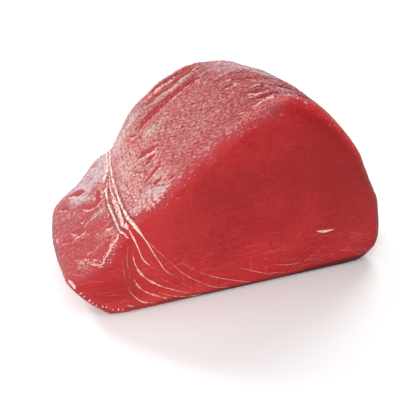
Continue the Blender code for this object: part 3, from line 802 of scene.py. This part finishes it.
# The film: pink, greyed, whiter in places partly as painted sheen, dark in its creases, and paler on the grain
# tops partly as painted highlight.
film_colour = tuna.layered(
    FILM_PINK,
    (values["greyed"], FILM_GREY),
    (values["white_film_and_sheen"], FILM_AND_SHEEN_WHITE),
    (creased, CREASE_RED),
    (tuna.stretch(tone, 0.58, 0.82, 0, 0.75), SPECK_AND_HIGHLIGHT_PALE),
)
# The bare side, with painted light in a brighter red on the front rim at the right.
bare_colour = tuna.layered(
    SIDE_RED,
    (tuna.stretch(dashes, 0.38, 0.54, 0.70, 0), CREASE_RED),
    (tuna.stretch(dashes, 0.56, 0.74, 0, 0.30), FILM_PINK),
    (tuna.stretch(values["painted_rim_light"], 0, 1, 0, 0.8), RIM_LIGHT_RED),
)
spots = tuna.add("TexVoronoi", {"Vector": where, "Scale": SPOT_SCALE})
picked = tuna.add("SeparateColor", {0: spots.outputs["Color"]}).outputs[0]
picked = tuna.stretch(tuna.maths("ADD", picked, values["specks"]), 1.0, 1.05)
spot = tuna.maths("MULTIPLY", tuna.stretch(spots.outputs["Distance"], 0.12, 0.30, 0.45, 0), picked)

# A painted shadow darkens a line along the foot of the cut, higher towards both ends and faint at the left.
higher = tuna.stretch(place_x, 30 * MM, 62 * MM, 0, 1.8 * MM)
higher = tuna.maths("ADD", higher, tuna.stretch(place_x, -15 * MM, -46 * MM, 0, 1.0 * MM))
painted_foot_shadow = tuna.stretch(tuna.maths("SUBTRACT", place_z, higher), 2.05 * MM, 3.4 * MM, 0.92, 0)
painted_foot_shadow = tuna.maths("MULTIPLY", painted_foot_shadow, tuna.stretch(place_x, -50 * MM, -15 * MM, 0.3, 1))
outer = tuna.layered(
    flesh,
    (values["side"], bare_colour),
    (values["film"], film_colour),
    (spot, SPECK_AND_HIGHLIGHT_PALE),
    (tuna.stretch(values["pale_line"], 0.1, 0.8, 0, 0.85), SPECK_AND_HIGHLIGHT_PALE),
    # Painted shade in the creases beside the strands and between the pleats.
    (tuna.stretch(values["crease_and_shade"], 0, 1, 0, 0.8), CREASE_RED),
    (tuna.stretch(values["skin_and_dark_rim"], 0.1, 0.9, 0, 0.85), SKIN_AND_SHADOW_DARK),
    (painted_foot_shadow, SKIN_AND_SHADOW_DARK),
)
heights = tuna.maths("MULTIPLY", dashes, values["side"])
raw_finish = {
    "Base Color": outer,
    "Normal": tuna.bump(heights, 0.9, 1.1 * MM),
    "Roughness": tuna.stretch(values["side"], 0, 1, 0.58, 0.33),
    "Specular IOR Level": 0.24,
    "Sheen Weight": 0.05,
    "Sheen Roughness": 0.4,
    "Sheen Tint": (0.85, 0.72, 0.88, 1),
    "Subsurface Weight": 0.05,
    "Subsurface Radius": (1.0, 0.25, 0.2),
    "Subsurface Scale": 0.8 * MM,
}
tuna.give(tuna.shader, raw_finish)
steak.data.materials.append(tuna.material)
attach(steak, "root")
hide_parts("tuna_steak")

# The seam strands: cream strands of connective tissue that lie close together at the back of the fold, part
# towards the front and run over the rim on to the cut. They have grown to the flesh and stand proud of it.
STRAND_SIDES = 10
STRAND_POINTS = 170
STRAND_FLATNESS = 0.9
STRAND_SUNK = 0.4 * MM
PATH_EASE = 2
NORMAL_EASE = 4


def on_side(table):
    """Points of the smooth body at landmark numbers and shares of the thickness, which are below 0 on the front
    rim."""
    place, depth = np.array(table).T
    column = np.rint(np.interp(place, numbers, np.arange(COLUMNS))).astype(int)
    row = np.abs(across[:, column] - depth * THICKNESS / MM).argmin(axis=0)
    return smooth_body[row, column]


def on_cut(table, depth_of=front_depth):
    """Points of a cut at x and z in mm."""
    x, z = np.array(table).T * MM
    return np.stack([x, depth_of(x, z), z], axis=-1)


def through(points, count):
    """A path through points. Each stretch is (2b + (c - a)t + (2a - 5b + 4c - d)t^2 + (3b - a - 3c + d)t^3) / 2
    of the four points a, b, c and d round it, with the end points mirrored beyond the ends."""
    padded = np.concatenate([[2 * points[0] - points[1]], points, [2 * points[-1] - points[-2]]])
    reach = np.concatenate([[0], np.cumsum(np.linalg.norm(np.diff(points, axis=0), axis=1))])
    place = np.interp(np.linspace(0, reach[-1] * (1 - 1e-9), count), reach, np.arange(len(points)))
    start = np.minimum(place.astype(int), len(points) - 2)
    t = (place - start)[:, None]
    a, b, c, d = (padded[start + k] for k in range(4))
    return (2 * b + (c - a) * t + (2 * a - 5 * b + 4 * c - d) * t**2 + (3 * b - a - 3 * c + d) * t**3) / 2


def eased(rows, reach):
    """Each row replaced by the mean of the rows within reach of it."""
    padded = np.pad(rows, ((reach, reach), (0, 0)), mode="edge")
    total = np.cumsum(np.concatenate([np.zeros((1, rows.shape[1])), padded]), axis=0)
    return (total[2 * reach + 1 :] - total[: -2 * reach - 1]) / (2 * reach + 1)


flat_body = smooth_body.reshape(-1, 3)
flat_normals = body_normals.reshape(-1, 3)


def laid(path):
    """Points moved on to the flesh, each to the tangent plane at the body's nearest point, with normals."""
    nearest = ((flat_body**2).sum(axis=1) - 2 * path @ flat_body.T).argmin(axis=1)
    normals = flat_normals[nearest]
    return path - ((path - flat_body[nearest]) * normals).sum(axis=1, keepdims=True) * normals, normals


def strand(path, half_width, height, seed, knobs=0.2, sunk=STRAND_SUNK):
    """A strand along a path on the flesh. Its section is the upper half of an ellipse over a shallow lower
    half. Seeded noise swells and shrinks it along its length."""
    path, normals = laid(path)
    path, normals = eased(path, PATH_EASE), eased(normals, NORMAL_EASE)
    ahead = np.gradient(path, axis=0)
    aside = np.cross(normals, ahead)
    aside /= np.linalg.norm(aside, axis=1, keepdims=True)
    travelled = np.cumsum(np.linalg.norm(ahead, axis=1)) / MM
    row = np.full(len(path), 0.5 + seed)
    swell = 1 + knobs * (1.4 * noise(travelled / 2.4, row, 40) + 1.2 * noise(travelled / 1.1, row, 41))
    around = -np.arange(STRAND_SIDES) / STRAND_SIDES * 2 * math.pi
    lift = np.where(np.sin(around) > 0, np.sin(around) * (height * swell)[:, None], np.sin(around) * sunk)
    ring = path[:, None] + aside[:, None] * (np.cos(around) * (half_width * swell)[:, None])[..., None]
    return shells((ring + normals[:, None] * lift[..., None])[None])


def widths(table, count):
    """Half widths along a strand, straight from one to the next of a table of shares of its length and mm."""
    place, half_width = np.array(table).T
    return np.interp(np.linspace(0, 1, count), place, half_width) * MM


MIDDLE_STRAND = (
    (10.23, 0.67), (10.22, 0.60), (10.24, 0.545), (10.25, 0.50), (10.19, 0.39), (10.17, 0.30), (10.13, 0.20),
    (10.10, 0.065), (10.03, 0.018), (9.98, -0.029), (9.99, -0.064),
)
BLOB = ((10.27, 0.90), (10.29, 0.82), (10.32, 0.77), (10.36, 0.73), (10.43, 0.685), (10.51, 0.625))
BRANCH = ((10.42, 0.54), (10.53, 0.535), (10.64, 0.54))
FRONT_RIGHT = (
    (12.2, 47.8), (13.4, 45.3), (15.9, 39.6), (18.3, 33.1), (20.4, 28.4), (22.6, 23.0), (24.6, 20.2),
    (27.4, 17.8),
)
FRONT_LEFT = ((7.2, 44.8),)
FRONT_MIDDLE = ((9.1, 45.2), (9.9, 42.7), (11.3, 37.2), (12.2, 33.2), (13.6, 30.2), (15.9, 26.9))
BACK_RIGHT = ((15.5, 47.0), (13.0, 54.0), (11.0, 59.5))
BACK_BLOB = ((5.5, 52.0), (7.0, 57.0), (8.3, 60.2))
RIGHT_WIDTHS = (
    (0, 0.12), (0.12, 0.45), (0.2, 0.72), (0.33, 0.75), (0.45, 0.70), (0.55, 0.72), (0.59, 0.9), (0.64, 1.0),
    (0.675, 0.66), (0.71, 0.38), (0.75, 0.27), (0.83, 0.22), (0.92, 0.16), (1, 0.06),
)
LEFT_WIDTHS = (
    (0, 0.3), (0.08, 0.6), (0.2, 0.65), (0.3, 0.4), (0.42, 0.62), (0.6, 0.65), (0.8, 0.55), (0.9, 0.42),
    (1, 0.1),
)
MIDDLE_WIDTHS = (
    (0, 0.3), (0.15, 0.42), (0.35, 0.36), (0.42, 0.24), (0.58, 0.22), (0.64, 0.46), (0.70, 0.42),
    (0.75, 0.27), (0.85, 0.28), (0.95, 0.36), (1, 0.08),
)
BLOB_WIDTHS = ((0, 0.1), (0.3, 0.4), (0.55, 0.6), (0.75, 0.9), (0.88, 1.0), (0.95, 0.8), (1, 0.35))
BRANCH_WIDTHS = ((0, 0.6), (0.6, 0.55), (1, 0.3))
strand_runs = (
    ((on_cut(BACK_RIGHT, back_depth), on_side(RIGHT_STRAND), on_cut(FRONT_RIGHT)), RIGHT_WIDTHS),
    ((on_side(LEFT_STRAND), on_cut(FRONT_LEFT)), LEFT_WIDTHS),
    ((on_side(MIDDLE_STRAND), on_cut(FRONT_MIDDLE)), MIDDLE_WIDTHS),
    ((on_cut(BACK_BLOB, back_depth), on_side(BLOB)), BLOB_WIDTHS),
    ((on_side(BRANCH),), BRANCH_WIDTHS),
)
strand_shells = []
for seed, (run, table) in enumerate(strand_runs):
    half_width = widths(table, STRAND_POINTS)
    path = through(np.concatenate(run), STRAND_POINTS)
    strand_shells.append(strand(path, half_width, STRAND_FLATNESS * half_width, seed))
strands = flesh_object("seam_strands", strand_shells)

# Cream and pink in knots, pinker lower down, with small dark pits in the upper part.
STRAND_CREAM = (0.80, 0.66, 0.58, 1)
STRAND_PINK = (0.72, 0.39, 0.36, 1)
STRAND_PIT = (0.42, 0.085, 0.08, 1)
tissue = Finish("connective_tissue")
where = tissue.add("TexCoord").outputs["Object"]
height = tissue.add("SeparateXYZ", {0: where}).outputs[2]
knotty = tissue.noise(where, 480.0, 3.0)
pits = tissue.stretch(tissue.noise(where, 850.0, 1.0), 0.36, 0.46, 0.85, 0)
strand_colour = tissue.layered(
    STRAND_PINK,
    (tissue.stretch(knotty, 0.38, 0.56), STRAND_CREAM),
    (tissue.maths("MULTIPLY", pits, tissue.stretch(height, 42 * MM, 50 * MM)), STRAND_PIT),
    (tissue.stretch(height, 46 * MM, 30 * MM, 0, 0.4), STRAND_PINK),
)
tissue_finish = {
    "Base Color": strand_colour,
    "Normal": tissue.bump(knotty, 0.6, 0.5 * MM),
    "Roughness": 0.38,
    "Specular IOR Level": 0.35,
}
tissue.give(tissue.shader, tissue_finish)
strands.data.materials.append(tissue.material)
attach(strands, "root")

# The fat beads: small soft grains of pinkish fat that fill the fold between the strands and lie along the thin
# cream line that fringes the film on the small lobe, pale flecks of skin left along the lobe's lower rim, and
# one short fleck near the front cut's right end. They all stick to the flesh.
BEAD_RINGS = 5
BEAD_SIDES = 8
BEAD_ENDS = 0.8
BEAD_RUN_POINTS = 100
BEAD_SEED = 7
chance = np.random.default_rng(BEAD_SEED)


def beads(centres, toward, lengths, across_widths, heights):
    """Ovoids on the flesh, each drawn out from its centre along the direction toward. A point goes the sine of
    its tilt along that direction and the cosine round it, with tilts up to 0.8 of a right angle."""
    centres, normals = laid(centres)
    aside = np.cross(normals, toward)
    aside /= np.linalg.norm(aside, axis=1, keepdims=True)
    ahead = np.cross(aside, normals)
    tilt = np.linspace(-BEAD_ENDS, BEAD_ENDS, BEAD_RINGS)[:, None] * math.pi / 2
    around = -np.arange(BEAD_SIDES) / BEAD_SIDES * 2 * math.pi
    unit = np.stack([np.sin(tilt) + 0 * around, np.cos(tilt) * np.cos(around), np.cos(tilt) * np.sin(around)])
    axes = np.stack([ahead * lengths[:, None], aside * across_widths[:, None], normals * heights[:, None]])
    return shells(centres[:, None, None] + np.einsum("krc,knv->nrcv", unit, axes))


def strewn(points, count, spread, size, crosswise=False):
    """Beads about evenly along a path and strewn to both sides of it, with sizes in mm that vary by a third.
    They lie along the path, or across it."""
    path = through(points, BEAD_RUN_POINTS)
    place = (np.arange(count) + chance.uniform(0.2, 0.8, count)) / count * (len(path) - 1)
    centres = np.stack([np.interp(place, np.arange(len(path)), path[:, k]) for k in range(3)], axis=-1)
    directions = np.gradient(path, axis=0)[place.astype(int)]
    sideways = np.cross(laid(centres)[1], directions)
    sideways /= np.linalg.norm(sideways, axis=1, keepdims=True)
    centres = centres + sideways * (chance.uniform(-1, 1, count) * spread * MM)[:, None]
    length, width, height = np.array(size)[:, None] * chance.uniform(0.67, 1.33, (3, count)) * MM
    return beads(centres, sideways if crosswise else directions, length, width, height)


FRINGE = (
    (10.31, 0.028), (10.42, 0.010), (10.51, 0.0), (10.59, -0.008), (10.71, -0.020), (10.82, -0.028),
    (10.95, -0.036), (11.08, -0.046), (11.21, -0.055), (11.35, -0.055), (11.52, -0.043), (11.66, -0.028),
    (11.78, -0.003), (11.88, 0.026), (11.94, 0.055),
)
BELOW_FRINGE = ((10.42, -0.036), (10.56, -0.050), (10.75, -0.053), (10.94, -0.059), (11.15, -0.070))
RIM_FLECKS = (
    (13.80, -0.103), (14.04, -0.095), (14.22, -0.095), (14.36, -0.088), (14.51, -0.085), (14.66, -0.10),
    (14.80, -0.10), (15.01, -0.10), (15.04, -0.098),
)
RIM_BAND = ((12.93, -0.063), (13.01, -0.085), (13.46, -0.103))
LOBE_FLECKS = ((12.84, 0.47), (12.87, 0.40))

# Where beads lie, how many, how far to each side in mm, their sizes in mm, and True where they lie crosswise.
BEAD_RUNS = (
    (BETWEEN_STRANDS, 30, 1.0, (0.78, 0.66, 0.5)),
    (BETWEEN_STRANDS, 26, 1.5, (0.42, 0.38, 0.3)),
    (FRINGE, 40, 1.2, (0.32, 0.27, 0.2)),
    (FRINGE[:4], 6, 0.35, (0.65, 0.36, 0.3)),
    (BELOW_FRINGE, 16, 2.2, (0.30, 0.26, 0.2)),
    (RIM_FLECKS, 10, 0.4, (0.78, 0.32, 0.26), True),
    (RIM_BAND, 7, 0.8, (1.25, 0.7, 0.35)),
    (LOBE_FLECKS, 2, 0.1, (0.9, 0.7, 0.35)),
)
FLECK = ((103.4, 26.2), (106.0, 25.5), (108.5, 25.1), (113.3, 25.4))
FLECK_WIDTHS = ((0, 0.1), (0.3, 0.85), (0.6, 0.8), (1, 0.1))
FLECK_POINTS = 40
FLECK_RISE = 0.14 * MM
FRINGE_WIDTHS = ((0, 0.2), (0.3, 0.24), (0.6, 0.26), (0.85, 0.2), (1, 0.08))
FRINGE_POINTS = 140
FRINGE_RISE = 0.16 * MM


def low_strand(points, table, count, rise, seed, knobs):
    """A strand as high all along as its rise, with half widths from a table."""
    return strand(through(points, count), widths(table, count), np.full(count, rise), seed, knobs)


grain_shells = [strewn(on_side(path), *run) for path, *run in BEAD_RUNS]
grain_shells.append(low_strand(on_cut(FLECK), FLECK_WIDTHS, FLECK_POINTS, FLECK_RISE, 1, 0.08))
grain_shells.append(low_strand(on_side(FRINGE), FRINGE_WIDTHS, FRINGE_POINTS, FRINGE_RISE, 2, 0.5))
grains = flesh_object("fat_beads", grain_shells)

BEAD_CREAM = (0.82, 0.57, 0.50, 1)
BEAD_PINK = (0.74, 0.32, 0.30, 1)
fat = Finish("soft_fat")
where = fat.add("TexCoord").outputs["Object"]
bead_colour = fat.layered(BEAD_PINK, (fat.stretch(fat.noise(where, 650.0, 2.0), 0.38, 0.6), BEAD_CREAM))
fat.give(fat.shader, {"Base Color": bead_colour, "Roughness": 0.36, "Specular IOR Level": 0.35})
grains.data.materials.append(fat.material)
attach(grains, "root")

# The marbling: fine seams of fat and tissue between the muscle layers, which fan out over both cuts from the
# fold. The knife leaves each one a hair proud of the flesh. A row holds points, as x and z on the front cut in
# mm, then the half widths in mm at the start, a third, two thirds and the end.
MARBLING = (
    (((15.3, 41.8), (20.4, 34.3), (26.2, 25.9), (32.9, 16.7), (40.0, 10.4), (47.3, 5.2), (55.8, 2.8)),
     (0.14, 0.07, 0.16, 0.1)),
    (((31.8, 24.1), (38.8, 17.5), (45.4, 13.0), (52.8, 9.2), (60.4, 5.8), (67.8, 2.7)),
     (0.04, 0.08, 0.20, 0.1)),
    (((62.0, 13.7), (69.7, 9.2), (76.8, 5.8), (80.0, 4.4)), (0.04, 0.14, 0.16, 0.05)),
    (((75.3, 6.0), (79.8, 5.6), (89.6, 3.9)), (0.04, 0.12, 0.1, 0.04)),
    (((79.8, 11.3), (87.0, 9.2), (95.6, 8.3)), (0.04, 0.08, 0.08, 0.03)),
    (((8.1, 36.0), (8.9, 29.3), (11.8, 22.1), (17.7, 15.5), (23.2, 11.3), (31.0, 6.5), (36.0, 4.3)),
     (0.12, 0.62, 0.30, 0.06)),
    (((7.3, 21.2), (8.5, 17.7), (9.7, 14.9), (13.5, 10.7), (18.6, 7.2), (23.0, 4.4)), (0.1, 0.5, 0.45, 0.35)),
    (((18.7, 9.9), (25.8, 5.4), (33.1, 2.9), (42.0, 2.0)), (0.05, 0.16, 0.22, 0.05)),
    (((4.4, 17.0), (4.9, 14.3), (5.9, 11.5), (10.5, 5.6), (17.1, 3.2)), (0.06, 0.2, 0.42, 0.2)),
    (((2.9, 5.9), (4.3, 4.7), (6.3, 3.7)), (0.15, 0.3, 0.3, 0.1)),
    (((30.1, 13.2), (35.5, 8.0), (38.7, 5.7)), (0.03, 0.07, 0.07, 0.03)),
    (((20.1, 18.4), (26.0, 13.3), (28.0, 11.8)), (0.03, 0.06, 0.06, 0.03)),
    (((3.1, 34.3), (3.0, 28.4), (3.4, 22.2)), (0.04, 0.06, 0.06, 0.03)),
    (((6.3, 40.5), (5.2, 31.4), (6.2, 20.2)), (0.04, 0.07, 0.07, 0.04)),
    (((117.5, 10.7), (125.9, 9.3), (130.8, 8.4)), (0.03, 0.07, 0.07, 0.03)),
)
MARBLING_RISE = 0.14 * MM
MARBLING_SUNK = 0.15 * MM
MARBLING_POINTS = 80
MARBLING_KNOBS = 0.55
WIDTH_PLACES = (0, 0.33, 0.67, 1)

# The back cut's fan has the same rows but the last two, made narrower and taller and shifted.
BACK_ROWS = 13
BACK_STRETCH = np.array([0.88, 1.15])
BACK_SHIFT = np.array([2.5, 9.0])


def seam(points, half_widths, seed):
    """A seam of marbling through points on a cut: a low strand with strong knobs."""
    half_widths = widths(list(zip(WIDTH_PLACES, half_widths)), MARBLING_POINTS)
    rises = np.full(MARBLING_POINTS, MARBLING_RISE)
    return strand(through(points, MARBLING_POINTS), half_widths, rises, seed, MARBLING_KNOBS, MARBLING_SUNK)


seams = [seam(on_cut(table), half_widths, seed) for seed, (table, half_widths) in enumerate(MARBLING, start=3)]
for seed, (table, half_widths) in enumerate(MARBLING[:BACK_ROWS], start=30):
    seams.append(seam(on_cut(np.array(table) * BACK_STRETCH + BACK_SHIFT, back_depth), half_widths, seed))
marbling = flesh_object("marbling", seams)

SEAM_CREAM = (0.76, 0.40, 0.31, 1)
SEAM_PINK = (0.58, 0.10, 0.09, 1)
streaky = Finish("marbling_fat")
where = streaky.add("TexCoord").outputs["Object"]
patchy = streaky.stretch(streaky.noise(where, 380.0, 3.0), 0.38, 0.56)
seam_colour = streaky.layered(SEAM_PINK, (patchy, SEAM_CREAM))
streaky.give(streaky.shader, {"Base Color": seam_colour, "Roughness": 0.45, "Specular IOR Level": 0.3})
marbling.data.materials.append(streaky.material)
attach(marbling, "root")

# The studio: a pale matt floor under an even white sky, and four square lights. The strongest stands high at
# the back left, one hangs overhead, one lights the back right edge, and a weak one fills in at the front left.
FLOOR_SIZE = 3.0
FLOOR_GAP = 0.05 * MM
FLOOR_WHITE = (0.93, 0.93, 0.93, 1)
SKY_STRENGTH = 0.31
half, level = FLOOR_SIZE / 2, float(solid_low[2]) - FLOOR_GAP
floor_corners = [(-half, -half, level), (half, -half, level), (half, half, level), (-half, half, level)]
floor_mesh = bpy.data.meshes.new("floor")
floor_mesh.from_pydata(floor_corners, [], [(0, 1, 2, 3)])
floor = bpy.data.objects.new("floor", floor_mesh)
bpy.context.scene.collection.objects.link(floor)
matt = Finish("floor_white")
matt.give(matt.shader, {"Base Color": FLOOR_WHITE, "Roughness": 0.9, "Specular IOR Level": 0.0})
floor_mesh.materials.append(matt.material)

world = bpy.data.worlds.new("studio")
world.use_nodes = True
sky = world.node_tree.nodes["Background"]
sky.inputs["Color"].default_value = (1.0, 1.0, 1.0, 1)
sky.inputs["Strength"].default_value = SKY_STRENGTH
bpy.context.scene.world = world
bpy.context.scene.view_settings.view_transform = "Standard"

# Each light has a place and a side in metres and a power in watts. It shines along its own -Z axis, which is
# turned towards the middle of the steak.
LIT_PLACE = np.array([0, 0, 50 * MM])
SOFTBOXES = {
    "window_back_left": ((-0.45, 0.62, 0.5), 0.18, 3.8),
    "overhead": ((-0.1, 0.1, 1.1), 0.6, 3.2),
    "rim_back_right": ((0.34, 0.40, 0.52), 0.3, 2.8),
    "fill_front_left": ((-0.30, -0.32, 0.20), 0.25, 1.6),
}
for name, (place, size, power) in SOFTBOXES.items():
    light = bpy.data.lights.new(name, "AREA")
    light.size = size
    light.energy = power
    lamp = bpy.data.objects.new(name, light)
    bpy.context.scene.collection.objects.link(lamp)
    lamp.location = place
    x, y, z = LIT_PLACE - np.array(place)
    lamp.rotation_euler = (math.atan2(math.hypot(x, y), -z), 0, math.atan2(-x, y))

# The camera stands in front and a little to the left, 38 degrees up.
AZIMUTH = math.radians(-17.25)
ELEVATION = math.radians(38)
DISTANCE = 400 * MM
LOOK_AT = np.array([63.2, 74.2, 2.6]) * MM + to_frame
CAMERA_LENS = 60
CLIP_START = 10 * MM
away = np.array([math.sin(AZIMUTH), -math.cos(AZIMUTH), math.tan(ELEVATION)]) * math.cos(ELEVATION)
camera = bpy.data.objects.new("camera", bpy.data.cameras.new("camera"))
bpy.context.scene.collection.objects.link(camera)
camera.data.lens = CAMERA_LENS
camera.data.clip_start = CLIP_START
camera.location = LOOK_AT + away * DISTANCE
camera.rotation_euler = (math.pi / 2 - ELEVATION, 0, AZIMUTH)
bpy.context.scene.camera = camera
